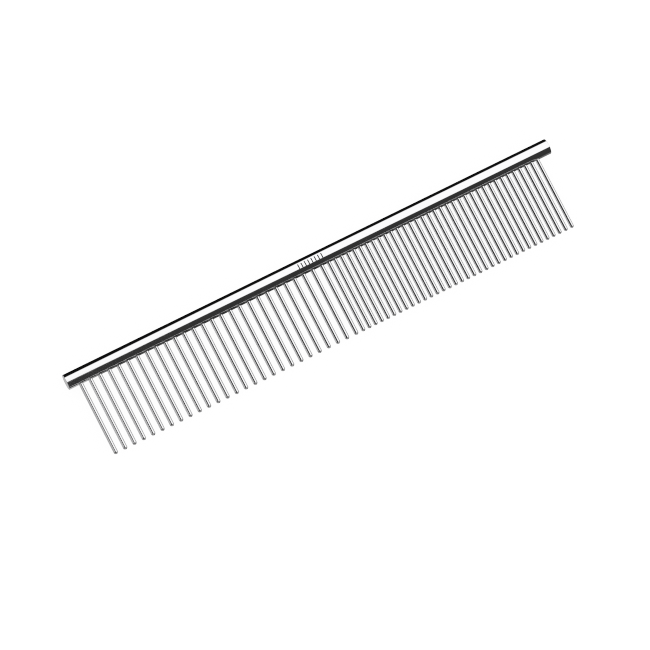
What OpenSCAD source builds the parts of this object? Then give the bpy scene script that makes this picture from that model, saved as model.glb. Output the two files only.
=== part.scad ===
// Steel grooming comb: a round bar with one row of straight steel pins pressed into blind sockets.
// The pins are widely spaced at the -X end and closely spaced at the +X end.
// The comb lies flat, with its bar along X, its teeth pointing to -Y and its lowest line on Z = 0.
// The origin is the centre of the bottom of its bounding box.

/* [Bar] */
// Length of the bar
bar_l = 190; // [187:1:260]
// Diameter of the bar
bar_d = 5.6; // [5.1:0.1:9]
// Radius that rounds the edge of each end face
bar_edge_r = 0.15; // [0.1:0.05:1]

/* [Teeth] */
// How far a tooth stands out of the bar
tooth_reach = 26.9; // [12:0.05:45]
// Distance from the coarse end of the bar to the centre of the first tooth
end_margin = 4.5; // [2:0.1:7]
// Centre distance between the last coarse tooth and the first fine one
change_gap = 2.79; // [2:0.01:5]
// Chamfer on the inner end of a tooth
tooth_chamfer = 0.2; // [0.05:0.05:0.5]

/* [Coarse teeth] */
// Number of coarse teeth
coarse_n = 27; // [4:1:28]
// Centre distance between coarse teeth
coarse_pitch = 3.6; // [2:0.005:3.7]
// Diameter of a coarse tooth
coarse_d = 1.6; // [1.1:0.05:1.8]

/* [Fine teeth] */
// Number of nodes that hold the fine teeth
fine_groups = 7; // [1:1:7]
// Number of fine teeth in each of those nodes
fine_per_group = 5; // [2:1:5]
// Centre distance between fine teeth
fine_pitch = 2.455; // [1.9:0.005:2.5]
// Diameter of a fine tooth
fine_d = 1.5; // [1.1:0.05:1.7]

/* [Sockets] */
// Depth of a socket from the underside of the bar to its shoulder
socket_depth = 4; // [2.5:0.1:4.4]
// Full angle of the drill point at the bottom of a socket
drill_point_angle = 118; // [90:1:140]
// Space left between the inner end of a tooth and the shoulder of its socket
seat_gap = 0.1; // [0:0.05:0.5]

/* [Hidden] */
bar_r = bar_d / 2;
bar_y = tooth_reach / 2;
bar_z = bar_r;
first_coarse_x = end_margin - bar_l / 2;
first_fine_x = first_coarse_x + (coarse_n - 1) * coarse_pitch + change_gap;
fine_n = fine_groups * fine_per_group;
shoulder_z = bar_r - socket_depth;
tip_z = bar_r + tooth_reach;
// How far a cutting tool runs past the surface that it cuts
overcut = 1;
bar_fn = 96;
tooth_fn = 48;

function coarse_x(i) = first_coarse_x + (i - 1) * coarse_pitch;
function fine_x(i) = first_fine_x + (i - 1) * fine_pitch;
function two_digits(n) = str(n < 10 ? "0" : "", n);
function group_first(g) = (g - 1) * fine_per_group + 1;
function group_last(g) = g * fine_per_group;
function coarse_name(i) = str("coarse_tooth_", two_digits(i));
function fine_name(g) = str("fine_teeth_", two_digits(group_first(g)), "_", two_digits(group_last(g)));

// Puts a tooth or socket at x: its own origin is on the axis of the bar, and its +Z points to the tip.
module at_tooth(x) {
    translate([x, bar_y, bar_z])
        rotate([90, 0, 0])
            children();
}

// Half section of the bar, from its axis outwards, with both end edges rounded.
module bar_section() {
    translate([0, bar_edge_r])
        square([bar_r, bar_l - 2 * bar_edge_r]);
    square([bar_r - bar_edge_r, bar_l]);
    for (end_y = [bar_edge_r, bar_l - bar_edge_r])
        translate([bar_r - bar_edge_r, end_y])
            circle(r = bar_edge_r, $fn = tooth_fn);
}

// Blind drilled hole for a tooth of diameter d, open at the underside of the bar.
module socket(d) {
    point_depth = d / 2 / tan(drill_point_angle / 2);
    translate([0, 0, shoulder_z])
        cylinder(d = d, h = socket_depth + overcut, $fn = tooth_fn);
    translate([0, 0, shoulder_z - point_depth])
        cylinder(d1 = 0, d2 = d, h = point_depth, $fn = tooth_fn);
}

// Straight pin of diameter d with a chamfered inner end and a hemispherical tip.
module tooth(d) {
    r = d / 2;
    inner_z = shoulder_z + seat_gap;
    color("gainsboro")
        rotate_extrude($fn = tooth_fn) {
            polygon([
                [0, inner_z],
                [r - tooth_chamfer, inner_z],
                [r, inner_z + tooth_chamfer],
                [r, tip_z - r],
                [0, tip_z - r]
            ]);
            intersection() {
                translate([0, tip_z - r])
                    circle(r = r, $fn = tooth_fn);
                translate([0, tip_z - r])
                    square([d, d]);
            }
        }
}

module spine_bar() {
    color("silver")
        difference() {
            translate([-bar_l / 2, bar_y, bar_z])
                rotate([0, 90, 0])
                    rotate_extrude($fn = bar_fn)
                        bar_section();
            for (i = [1:coarse_n])
                at_tooth(coarse_x(i)) socket(coarse_d);
            for (i = [1:fine_n])
                at_tooth(fine_x(i)) socket(fine_d);
        }
}

module coarse_tooth(i) {
    at_tooth(coarse_x(i)) tooth(coarse_d);
}

module fine_teeth(g) {
    for (i = [group_first(g):group_last(g)])
        at_tooth(fine_x(i)) tooth(fine_d);
}

spine_bar();
for (i = [1:coarse_n])
    coarse_tooth(i);
for (g = [1:fine_groups])
    fine_teeth(g);
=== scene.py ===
"""Looks of the steel grooming comb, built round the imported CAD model. All lengths are metres."""

import math

import bmesh
import bpy
from mathutils import Matrix, Vector


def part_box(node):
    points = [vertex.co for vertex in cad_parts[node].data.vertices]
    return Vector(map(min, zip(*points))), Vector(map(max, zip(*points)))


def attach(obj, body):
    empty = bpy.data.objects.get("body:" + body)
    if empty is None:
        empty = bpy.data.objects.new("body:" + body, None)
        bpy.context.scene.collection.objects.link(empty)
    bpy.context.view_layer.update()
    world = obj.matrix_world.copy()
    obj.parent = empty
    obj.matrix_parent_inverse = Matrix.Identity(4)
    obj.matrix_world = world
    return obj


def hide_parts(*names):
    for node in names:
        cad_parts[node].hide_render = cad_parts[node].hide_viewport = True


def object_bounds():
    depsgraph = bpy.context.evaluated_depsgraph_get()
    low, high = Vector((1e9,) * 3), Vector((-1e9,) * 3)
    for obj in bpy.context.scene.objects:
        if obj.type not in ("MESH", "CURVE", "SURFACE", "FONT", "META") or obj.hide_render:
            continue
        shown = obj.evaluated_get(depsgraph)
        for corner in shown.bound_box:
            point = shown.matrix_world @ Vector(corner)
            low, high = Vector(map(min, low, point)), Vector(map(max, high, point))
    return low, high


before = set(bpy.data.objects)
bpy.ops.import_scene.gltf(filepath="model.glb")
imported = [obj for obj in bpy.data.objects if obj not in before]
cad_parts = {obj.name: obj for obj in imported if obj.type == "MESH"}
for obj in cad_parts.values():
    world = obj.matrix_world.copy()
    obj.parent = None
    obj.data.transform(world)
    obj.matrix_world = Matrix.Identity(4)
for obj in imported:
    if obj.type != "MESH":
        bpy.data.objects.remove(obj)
cad_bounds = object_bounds()

MM = 0.001
TINY = 1e-9
SMOOTH_ANGLE = math.radians(30)

# ---------------------------------------------------------------- sizes read from the frame

BAR_NODE = "spine_bar"
FINE_TEETH_PER_NODE = 5
bar_low, bar_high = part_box(BAR_NODE)
bar_centre = (bar_low + bar_high) / 2
bar_radius = (bar_high.y - bar_low.y) / 2
bar_half = (bar_high.x - bar_low.x) / 2

# ---------------------------------------------------------------- sizes of the visible detail

BAR_EDGE = 0.15 * MM
BAR_SEGMENTS = 160
EDGE_STEPS = 8
TOOTH_SEGMENTS = 32
TIP_STEPS = 9
TOOTH_CHAMFER = 0.2 * MM
SOCKET_SEGMENTS = 48
SOCKET_DEPTH = 4.0 * MM
# The sockets are this much wider than the pins, so that no two surfaces coincide.
SOCKET_CLEARANCE = 0.02 * MM
COUNTERSINK_WIDTH = 0.16 * MM
COUNTERSINK_DEPTH = 0.26 * MM
DRILL_POINT_ANGLE = math.radians(118)


def new_object(name, data):
    """Links a new object, holding a mesh or a camera, to the scene."""
    obj = bpy.data.objects.new(name, data)
    bpy.context.scene.collection.objects.link(obj)
    return obj


def lathe(bm, outline, segments, place):
    """Adds a closed solid of revolution to bm, turned about the local Z of place.

    outline runs from axis to axis as (radius, height) pairs.
    """
    rings = []
    for radius, height in outline:
        if radius < TINY:
            rings.append([bm.verts.new(place @ Vector((0, 0, height)))])
            continue
        ring = []
        for k in range(segments):
            angle = 2 * math.pi * k / segments
            point = Vector((radius * math.cos(angle), radius * math.sin(angle), height))
            ring.append(bm.verts.new(place @ point))
        rings.append(ring)
    for lower, upper in zip(rings, rings[1:]):
        for k in range(segments):
            corners = [
                lower[k % len(lower)],
                lower[(k + 1) % len(lower)],
                upper[(k + 1) % len(upper)],
                upper[k % len(upper)],
            ]
            bm.faces.new(list(dict.fromkeys(corners)))


def mesh_of(bm, name):
    """Turns bm into a mesh that is smooth, except at edges sharper than SMOOTH_ANGLE."""
    bmesh.ops.recalc_face_normals(bm, faces=bm.faces)
    mesh = bpy.data.meshes.new(name)
    bm.to_mesh(mesh)
    bm.free()
    mesh.polygons.foreach_set("use_smooth", [True] * len(mesh.polygons))
    mesh.set_sharp_from_angle(angle=SMOOTH_ANGLE)
    return mesh


def arc(centre, radius, start, end, steps):
    """Points of an arc in the (radius, height) plane; angles are in degrees from the radius axis."""
    points = []
    for k in range(steps + 1):
        angle = math.radians(start + (end - start) * k / steps)
        points.append((centre[0] + radius * math.cos(angle), centre[1] + radius * math.sin(angle)))
    return points


# ---------------------------------------------------------------- where the teeth are


class Tooth:
    """One tooth: its place along the bar, its radius, and its inner end and tip along Y."""

    def __init__(self, x, radius, inner_y, tip_y):
        self.x, self.radius, self.inner_y, self.tip_y = x, radius, inner_y, tip_y

    def placement(self):
        """Local +Z runs from the axis of the bar to the tip."""
        return Matrix.Translation((self.x, bar_centre.y, bar_centre.z)) @ Matrix.Rotation(math.pi / 2, 4, "X")


def teeth_of(node):
    """The teeth that a CAD node holds, from its box alone."""
    low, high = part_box(node)
    count = 1 if node.startswith("coarse") else FINE_TEETH_PER_NODE
    radius = (high.z - low.z) / 2
    step = (high.x - low.x - 2 * radius) / max(count - 1, 1)
    first = low.x + radius if count > 1 else (low.x + high.x) / 2
    return [Tooth(first + k * step, radius, high.y, low.y) for k in range(count)]


tooth_nodes = sorted(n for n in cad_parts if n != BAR_NODE)
teeth = {node: teeth_of(node) for node in tooth_nodes}
all_teeth = sorted((t for ts in teeth.values() for t in ts), key=lambda t: t.x)

# ---------------------------------------------------------------- teeth


def tooth_outline(tooth):
    """Half section of a tooth from its inner end to its tip, heights from the axis of the bar."""
    inner = bar_centre.y - tooth.inner_y
    tip = bar_centre.y - tooth.tip_y
    ball = tip - tooth.radius
    r = tooth.radius
    return (
        [(0, inner), (r - TOOTH_CHAMFER, inner), (r, inner + TOOTH_CHAMFER)]
        + arc((0, ball), r, 0, 90, TIP_STEPS)[:-1]
        + [(0, tip)]
    )


def build_teeth(node, material):
    bm = bmesh.new()
    for tooth in teeth[node]:
        lathe(bm, tooth_outline(tooth), TOOTH_SEGMENTS, tooth.placement())
    piece = new_object(node + "_steel", mesh_of(bm, node + "_steel"))
    piece.data.materials.append(material)
    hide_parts(node)
    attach(piece, "root")


# ---------------------------------------------------------------- bar


def bar_outline():
    """Half section of the bar from one end to the other, heights from its middle."""
    r, e, h = bar_radius, BAR_EDGE, bar_half
    return (
        [(0, -h)]
        + arc((r - e, -h + e), e, -90, 0, EDGE_STEPS)
        + arc((r - e, h - e), e, 0, 90, EDGE_STEPS)
        + [(0, h)]
    )


def socket_outline(tooth):
    """Drilled socket with a countersunk mouth, heights from the axis of the bar."""
    r = tooth.radius + SOCKET_CLEARANCE
    shoulder = bar_radius - SOCKET_DEPTH
    point = shoulder - r / math.tan(DRILL_POINT_ANGLE / 2)
    mouth = bar_radius - COUNTERSINK_DEPTH
    past = bar_radius + COUNTERSINK_DEPTH
    wide = r + 2 * COUNTERSINK_WIDTH
    return [(0, point), (r, shoulder), (r, mouth), (wide, past), (0, past)]


END_FACE_TOLERANCE = 1e-4
EDGE_MARGIN = 1.01
OUTWARD_LIMIT = 0.2


def bar_normal(point, face_normal):
    """True surface normal at a point of the bar's outside, or None inside a socket."""
    out = Vector((0, point.y - bar_centre.y, point.z - bar_centre.z))
    if abs(abs(face_normal.x) - 1) < END_FACE_TOLERANCE:
        return face_normal
    if out.length < TINY or out.length < bar_radius - BAR_EDGE * EDGE_MARGIN:
        return None
    if face_normal.dot(out.normalized()) < OUTWARD_LIMIT:
        return None
    past_edge = max(abs(point.x) - (bar_half - BAR_EDGE), 0) * math.copysign(1, point.x)
    radial = out.length - (bar_radius - BAR_EDGE)
    return (out.normalized() * radial + Vector((past_edge, 0, 0))).normalized()


def build_bar(material):
    along_x = Matrix.Translation((0, bar_centre.y, bar_centre.z)) @ Matrix.Rotation(math.pi / 2, 4, "Y")
    blank_bm = bmesh.new()
    lathe(blank_bm, bar_outline(), BAR_SEGMENTS, along_x)
    blank = new_object("bar_blank", mesh_of(blank_bm, "bar_blank"))
    cutter_bm = bmesh.new()
    for tooth in all_teeth:
        lathe(cutter_bm, socket_outline(tooth), SOCKET_SEGMENTS, tooth.placement())
    cutter = new_object("bar_cutter", mesh_of(cutter_bm, "bar_cutter"))
    cut = blank.modifiers.new("sockets", "BOOLEAN")
    cut.operation = "DIFFERENCE"
    cut.solver = "EXACT"
    cut.object = cutter
    drilled = bpy.data.meshes.new_from_object(blank.evaluated_get(bpy.context.evaluated_depsgraph_get()))
    bpy.data.objects.remove(blank)
    bpy.data.objects.remove(cutter)
    drilled.name = "bar_steel"
    drilled.set_sharp_from_angle(angle=SMOOTH_ANGLE)
    normals = [corner.vector.copy() for corner in drilled.corner_normals]
    for face in drilled.polygons:
        for corner in face.loop_indices:
            point = drilled.vertices[drilled.loops[corner].vertex_index].co
            true_normal = bar_normal(point, face.normal)
            if true_normal is not None:
                normals[corner] = true_normal
    drilled.normals_split_custom_set(normals)
    piece = new_object("bar_steel", drilled)
    piece.data.materials.clear()
    piece.data.materials.append(material)
    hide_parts(BAR_NODE)
    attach(piece, "root")


# ---------------------------------------------------------------- etched mark

MARK_X = -0.25 * MM
MARK_STROKES = 8
MARK_PITCH = 1.3 * MM
MARK_STROKE_WIDTH = 0.36 * MM
MARK_ARC = (math.radians(-14), math.radians(24))
MARK_ARC_STEPS = 12
MARK_HEIGHT = 0.008 * MM
MARK_ROOT = 0.03 * MM
# Corners of a stroke's section: share of its width to each side, and height over the bar's surface
MARK_CORNERS = ((-0.5, -MARK_ROOT), (-0.5, MARK_HEIGHT), (0.5, MARK_HEIGHT), (0.5, -MARK_ROOT))


def build_mark(material):
    """Equal plain strokes etched across the front of the bar."""
    bm = bmesh.new()
    for k in range(MARK_STROKES):
        x = MARK_X + (k - (MARK_STROKES - 1) / 2) * MARK_PITCH
        rows = []
        for j in range(MARK_ARC_STEPS + 1):
            turn = MARK_ARC[0] + (MARK_ARC[1] - MARK_ARC[0]) * j / MARK_ARC_STEPS
            out = Vector((0, math.sin(turn), math.cos(turn)))
            row = []
            for side, rise in MARK_CORNERS:
                base = Vector((x + side * MARK_STROKE_WIDTH, bar_centre.y, bar_centre.z))
                row.append(bm.verts.new(base + out * (bar_radius + rise)))
            rows.append(row)
        for a, b in zip(rows, rows[1:]):
            for i in range(4):
                bm.faces.new([a[i], a[(i + 1) % 4], b[(i + 1) % 4], b[i]])
        bm.faces.new(rows[0])
        bm.faces.new(rows[-1])
    piece = new_object("etched_strokes", mesh_of(bm, "etched_strokes"))
    piece.data.materials.append(material)
    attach(piece, "root")


# ---------------------------------------------------------------- node helpers


class Nodes:
    """Short forms for building a shader tree."""

    def __init__(self, tree):
        self.tree = tree
        tree.nodes.clear()

    def add(self, kind, **settings):
        node = self.tree.nodes.new(kind)
        for key, value in settings.items():
            setattr(node, key, value)
        return node

    def feed(self, socket, value):
        if isinstance(value, bpy.types.NodeSocket):
            self.tree.links.new(value, socket)
        elif value is not None:
            socket.default_value = value

    def math(self, operation, *values):
        node = self.add("ShaderNodeMath", operation=operation)
        for socket, value in zip(node.inputs, values):
            self.feed(socket, value)
        return node.outputs[0]

    def line(self, value, start, end, low, high, **settings):
        """Straight line from low at start to high at end, held level outside."""
        node = self.add("ShaderNodeMapRange", **settings)
        names = ("Value", "From Min", "From Max", "To Min", "To Max")
        for name, item in zip(names, (value, start, end, low, high)):
            self.feed(node.inputs[name], item)
        return node.outputs["Result"]

    def ramp(self, value, start, end, low=0.0, high=1.0):
        """Smooth step from low at start to high at end; start may be above end."""
        if start > end:
            start, end, low, high = end, start, high, low
        return self.line(value, start, end, low, high, interpolation_type="SMOOTHSTEP")

    def mix(self, share, a, b):
        """a where share is 0, b where it is 1, for plain values."""
        node = self.add("ShaderNodeMix", data_type="FLOAT")
        for socket, value in zip(node.inputs[:4], (share, None, a, b)):
            self.feed(socket, value)
        return node.outputs[0]

    def noise(self, vector, scale, detail, rough):
        node = self.add("ShaderNodeTexNoise")
        for name, item in (("Vector", vector), ("Scale", scale), ("Detail", detail), ("Roughness", rough)):
            self.feed(node.inputs[name], item)
        return node.outputs["Fac"]

    def stretched(self, vector, scale):
        node = self.add("ShaderNodeMapping")
        self.feed(node.inputs["Vector"], vector)
        node.inputs["Scale"].default_value = scale
        return node.outputs["Vector"]

    def grey(self, value):
        """A neutral colour."""
        node = self.add("ShaderNodeCombineColor")
        for channel in ("Red", "Green", "Blue"):
            self.feed(node.inputs[channel], value)
        return node.outputs[0]

    def emission(self, value):
        node = self.add("ShaderNodeEmission")
        node.inputs["Color"].default_value = (value,) * 3 + (1,)
        return node.outputs[0]

    def finish(self, surface, kind="ShaderNodeOutputMaterial"):
        self.feed(self.add(kind).inputs["Surface"], surface)


def new_material(name):
    """A material with an empty shader tree, and that tree."""
    material = bpy.data.materials.new(name)
    material.use_nodes = True
    return material, Nodes(material.node_tree)


# ---------------------------------------------------------------- steel

REFLECTANCE = 0.86
BAR_ROUGHNESS = 0.05
PIN_ROUGHNESS = 0.06
# Noise scales along X, Y and Z: the polishing lines run along the bar, and along the teeth
BAR_GRAIN = (60.0, 9000.0, 9000.0)
PIN_GRAIN = (9000.0, 90.0, 9000.0)
GRAIN_CONTRAST = 0.05
HAZE_SCALE = 180.0
HAZE_ROUGHNESS = 0.03
SCRATCH_STRETCH = 0.37
SCRATCH_ROUGHNESS = 0.06
SCRATCH_DEPTH = -0.6
STRIP_ROUGHNESS = 0.16
# Painted shade: how much the root band's colour is darkened
ROOT_PAINTED_SHADE = 0.72
COOL_TINT = 1.008
POLISH_BUMP_STRENGTH = 0.25
POLISH_BUMP = 0.0006 * MM
ETCH_GRAIN_SCALE = 9000.0
ETCH_BUMP = 0.002 * MM


def steel(name, reflectance, roughness, grain_scale, strip=None):
    """Bright polished plating.

    grain_scale stretches its polishing lines, and strip gives the share of the band along the roots, which is
    made rougher and darkened in colour as painted shade.
    """
    material, n = new_material(name)
    place = n.add("ShaderNodeTexCoord").outputs["Object"]
    grain = n.noise(n.stretched(place, grain_scale), 1.0, 3.0, 0.6)
    scratch_noise = n.noise(n.stretched(place, [s * SCRATCH_STRETCH for s in grain_scale]), 1.0, 1.0, 0.5)
    scratches = n.ramp(scratch_noise, 0.66, 0.72)
    haze = n.noise(place, HAZE_SCALE, 3.0, 0.55)
    shader = n.add("ShaderNodeBsdfPrincipled")
    shader.inputs["Metallic"].default_value = 1.0
    rough = n.math("ADD", roughness, n.math("MULTIPLY", n.ramp(haze, 0.35, 0.75), HAZE_ROUGHNESS))
    rough = n.math("ADD", rough, n.math("MULTIPLY", scratches, SCRATCH_ROUGHNESS))
    grain_offset = n.math("MULTIPLY", n.math("SUBTRACT", grain, 0.5), GRAIN_CONTRAST)
    value = n.math("ADD", reflectance, grain_offset)
    if strip is not None:
        share = strip(n, place)
        rough = n.math("ADD", rough, n.math("MULTIPLY", share, STRIP_ROUGHNESS))
        # Painted shade between the roots: the band's colour is darkened, besides being made rougher
        after_painted_shade = n.math("SUBTRACT", 1.0, n.math("MULTIPLY", share, ROOT_PAINTED_SHADE))
        value = n.math("MULTIPLY", value, after_painted_shade)
    colour = n.add("ShaderNodeCombineColor")
    n.feed(colour.inputs["Red"], value)
    n.feed(colour.inputs["Green"], value)
    n.feed(colour.inputs["Blue"], n.math("MULTIPLY", value, COOL_TINT))
    n.feed(shader.inputs["Base Color"], colour.outputs[0])
    n.feed(shader.inputs["Roughness"], rough)
    bump = n.add("ShaderNodeBump")
    bump.inputs["Strength"].default_value = POLISH_BUMP_STRENGTH
    bump.inputs["Distance"].default_value = POLISH_BUMP
    n.feed(bump.inputs["Height"], n.math("ADD", grain, n.math("MULTIPLY", scratches, SCRATCH_DEPTH)))
    n.feed(shader.inputs["Normal"], bump.outputs["Normal"])
    n.finish(shader.outputs[0])
    return material


STRIP_HALF_WIDTH = 1.5 * MM
STRIP_BLUR = 0.3 * MM


def root_dullness_and_painted_shade(n, place):
    """Share of the band along the roots: rougher, where a polishing wheel can't reach, and darkened in colour
    as painted shade between the roots.
    """
    axes = n.add("ShaderNodeSeparateXYZ")
    n.feed(axes.inputs[0], place)
    aside = n.math("ABSOLUTE", n.math("SUBTRACT", axes.outputs["Z"], bar_centre.z))
    across = n.ramp(aside, STRIP_HALF_WIDTH + STRIP_BLUR / 2, STRIP_HALF_WIDTH - STRIP_BLUR / 2)
    below = n.ramp(axes.outputs["Y"], bar_centre.y, bar_centre.y - bar_radius / 2)
    start = n.ramp(axes.outputs["X"], all_teeth[0].x, all_teeth[4].x)
    end = n.ramp(axes.outputs["X"], all_teeth[-1].x, all_teeth[-2].x)
    return n.math("MULTIPLY", n.math("MULTIPLY", across, below), n.math("MULTIPLY", start, end))


def etched(name):
    """Dark, matt, finely grained laser-etched steel."""
    material, n = new_material(name)
    place = n.add("ShaderNodeTexCoord").outputs["Object"]
    grain = n.noise(place, ETCH_GRAIN_SCALE, 2.0, 0.6)
    shader = n.add("ShaderNodeBsdfPrincipled")
    value = n.math("ADD", 0.015, n.math("MULTIPLY", grain, 0.035))
    n.feed(shader.inputs["Base Color"], n.grey(value))
    n.feed(shader.inputs["Roughness"], n.math("ADD", 0.55, n.math("MULTIPLY", grain, 0.2)))
    bump = n.add("ShaderNodeBump")
    bump.inputs["Distance"].default_value = ETCH_BUMP
    n.feed(bump.inputs["Height"], grain)
    n.feed(shader.inputs["Normal"], bump.outputs["Normal"])
    n.finish(shader.outputs[0])
    return material


# ---------------------------------------------------------------- studio

# Brightness of the white that the camera sees, and of what lights matt surfaces
BACKDROP = 1.0
AMBIENT = 1.0
FLOOR_GLOW = 0.955
FLOOR_ALBEDO = 0.05
FLOOR_HALF = 6.0
FLOOR_GAP = 0.01 * MM
# Brightness of each card that the steel mirrors
KEY = 1.12
DARK = 0.034
BLACK = 0.005
FRONT_CARD = 0.18
FRONT_STRIP = 0.8
LEFT_CARD = 0.36
END_CARD = 0.52
NEAR_CARD = 0.54
RIGHT_CARD = 0.5
UNDER = 0.62
NEAR_CARD_HEIGHT = 98 * MM
NEAR_CARD_EDGE = -135 * MM
NEAR_CARD_REACH = 700 * MM
NEAR_CARD_FRONT = -25 * MM
NEAR_CARD_BACK = 80 * MM


def build_world():
    """What the steel mirrors: a large soft box above and to the right, dark flags and grey cards.

    round_bar is the ray's angle about the bar, 0 straight up and 90 towards its back. round_teeth is its
    angle about the teeth, 0 straight up and 90 towards the fine end. Both are in degrees, and x is the
    ray's own share along the bar. A card is a product of soft edges in those three.
    """
    world = bpy.data.worlds.new("studio")
    bpy.context.scene.world = world
    world.use_nodes = True
    n = Nodes(world.node_tree)
    axes = n.add("ShaderNodeSeparateXYZ")
    n.feed(axes.inputs[0], n.add("ShaderNodeTexCoord").outputs["Generated"])
    x, y, z = axes.outputs
    round_bar = n.math("DEGREES", n.math("ARCTAN2", y, z))
    round_teeth = n.math("DEGREES", n.math("ARCTAN2", x, z))

    def above(value, edge, soft):
        """1 where value is above edge, falling to 0 below it over soft on each side."""
        return n.ramp(n.math("SUBTRACT", value, edge), -soft, soft)

    def below(value, edge, soft):
        """1 where value is below edge, falling to 0 above it over soft on each side."""
        return n.ramp(n.math("SUBTRACT", value, edge), soft, -soft)

    def both(a, b):
        return n.math("MULTIPLY", a, b)

    key_top = n.ramp(x, 0.115, 0.2, 67.0, 76.0)
    key_bottom = n.line(x, 0.13, 0.245, -9.5, -24.0)
    key = both(
        both(above(round_bar, key_bottom, 5.0), below(round_bar, key_top, 7.0)),
        both(above(round_teeth, 6.0, 1.2), below(round_teeth, 67.0, 3.0)),
    )
    back_key = both(
        both(above(y, 0.24, 0.05), below(round_bar, key_top, 7.0)),
        both(above(round_teeth, -62.0, 5.0), below(x, 0.1, 0.03)),
    )
    black = above(round_bar, key_top, 7.0)
    low_front_edge = n.math("ADD", n.ramp(x, 0.14, 0.2, -126.0, -118.0), n.ramp(x, 0.135, 0.132, 0.0, 6.0))
    low_front = below(round_bar, low_front_edge, 10.0)
    coarse_end_level = n.ramp(x, 0.148, 0.132, 0.05, 0.55)
    fine_end_level = n.ramp(x, 0.2655, 0.268, 0.05, 0.2)
    low_front_level = n.math("MAXIMUM", coarse_end_level, fine_end_level)
    low_and_forward = above(round_bar, -102.0, 4.0)
    # Only a low view towards the tips sees this one
    front_strip = both(
        both(low_and_forward, below(round_bar, -8.0, 4.0)),
        below(n.math("ABSOLUTE", x), 0.085, 0.02),
    )
    front = both(
        both(low_and_forward, below(round_bar, -45.0, 4.0)),
        n.math("MAXIMUM", below(x, 0.09, 0.02), above(x, 0.36, 0.05)),
    )
    left = both(
        n.math("MAXIMUM", below(round_teeth, -80.0, 2.0), above(round_teeth, 168.0, 3.0)),
        below(x, -0.055, 0.03),
    )
    right = both(above(round_teeth, 68.0, 3.0), n.ramp(x, 0.35, 0.6))
    beside = both(
        below(n.math("ABSOLUTE", n.math("SUBTRACT", y, 0.06)), 0.1, 0.02),
        above(n.math("ABSOLUTE", x), 0.2, 0.03),
    )
    under = both(above(n.math("ABSOLUTE", round_teeth), 115.0, 6.0), beside)
    level = n.mix(low_front, DARK, low_front_level)
    level = n.mix(black, level, BLACK)
    level = n.mix(front, level, FRONT_CARD)
    level = n.mix(front_strip, level, FRONT_STRIP)
    level = n.mix(right, level, RIGHT_CARD)
    left_level = n.ramp(round_teeth, -150.0, -164.0, LEFT_CARD, END_CARD)
    level = n.mix(left, level, left_level)
    level = n.mix(under, level, UNDER)
    level = n.mix(n.math("MAXIMUM", key, back_key), level, KEY)
    rays = n.add("ShaderNodeLightPath")
    level = n.mix(rays.outputs["Is Diffuse Ray"], level, AMBIENT)
    level = n.mix(rays.outputs["Is Camera Ray"], level, BACKDROP)
    glow = n.add("ShaderNodeBackground")
    n.feed(glow.inputs["Color"], n.grey(level))
    n.finish(glow.outputs[0], "ShaderNodeOutputWorld")


def build_near_card():
    """A grey card low over the coarse end, which only the steel's reflections see."""
    bm = bmesh.new()
    corners = [
        (NEAR_CARD_EDGE - NEAR_CARD_REACH, NEAR_CARD_FRONT),
        (NEAR_CARD_EDGE, NEAR_CARD_FRONT),
        (NEAR_CARD_EDGE, NEAR_CARD_BACK),
        (NEAR_CARD_EDGE - NEAR_CARD_REACH, NEAR_CARD_BACK),
    ]
    bm.faces.new([bm.verts.new((x, y, NEAR_CARD_HEIGHT)) for x, y in corners])
    card = new_object("near_card", mesh_of(bm, "near_card"))
    card.visible_camera = False
    card.visible_diffuse = False
    card.visible_shadow = False
    material, n = new_material("near_card_paper")
    n.finish(n.emission(NEAR_CARD))
    card.data.materials.append(material)


def build_floor():
    """A pale glowing floor, which the steel doesn't mirror."""
    bm = bmesh.new()
    bmesh.ops.create_grid(bm, x_segments=1, y_segments=1, size=FLOOR_HALF)
    floor = new_object("floor", mesh_of(bm, "floor"))
    floor.location.z = cad_bounds[0].z - FLOOR_GAP
    floor.visible_glossy = False
    material, n = new_material("floor_paper")
    glow = n.emission(FLOOR_GLOW)
    matt = n.add("ShaderNodeBsdfDiffuse")
    matt.inputs["Color"].default_value = (FLOOR_ALBEDO,) * 3 + (1,)
    total = n.add("ShaderNodeAddShader")
    n.feed(total.inputs[0], glow)
    n.feed(total.inputs[1], matt.outputs[0])
    n.finish(total.outputs[0])
    floor.data.materials.append(material)


# ---------------------------------------------------------------- camera

PIXEL_FILTER = 1.0
LENS = 205
CAMERA_DISTANCE = 1281.2 * MM
CAMERA_YAW = math.radians(-11.426)
CAMERA_PITCH = math.radians(4.993)
CAMERA_ROLL = math.radians(-27.322)
AIM_X = -5.44 * MM
AIM_BELOW_AXIS = 21.73 * MM


def build_camera():
    """Looks down on the comb from the side of its coarse end and of its tips."""
    camera = new_object("camera", bpy.data.cameras.new("camera"))
    camera.data.lens = LENS
    camera.data.clip_start = 0.01
    camera.data.clip_end = 50
    aim = Vector((AIM_X, bar_centre.y - AIM_BELOW_AXIS, bar_centre.z))
    turn = (
        Matrix.Rotation(CAMERA_YAW, 4, "Y")
        @ Matrix.Rotation(CAMERA_PITCH, 4, "X")
        @ Matrix.Rotation(CAMERA_ROLL, 4, "Z")
    )
    back = turn @ Vector((0, 0, 1))
    camera.matrix_world = Matrix.Translation(aim + back * CAMERA_DISTANCE) @ turn
    bpy.context.scene.camera = camera


# ---------------------------------------------------------------- assembly

# The bar's root band is rougher and carries painted shade in its colour
bar_steel = steel("bar_plating", REFLECTANCE, BAR_ROUGHNESS, BAR_GRAIN, root_dullness_and_painted_shade)
pin_steel = steel("pin_plating", REFLECTANCE, PIN_ROUGHNESS, PIN_GRAIN)
build_bar(bar_steel)
for tooth_node in tooth_nodes:
    build_teeth(tooth_node, pin_steel)
build_mark(etched("etched_mark"))
build_floor()
build_near_card()
build_world()
build_camera()
bpy.context.scene.view_settings.view_transform = "Standard"
bpy.context.scene.cycles.filter_width = PIXEL_FILTER
bpy.context.scene.cycles.use_denoising = False
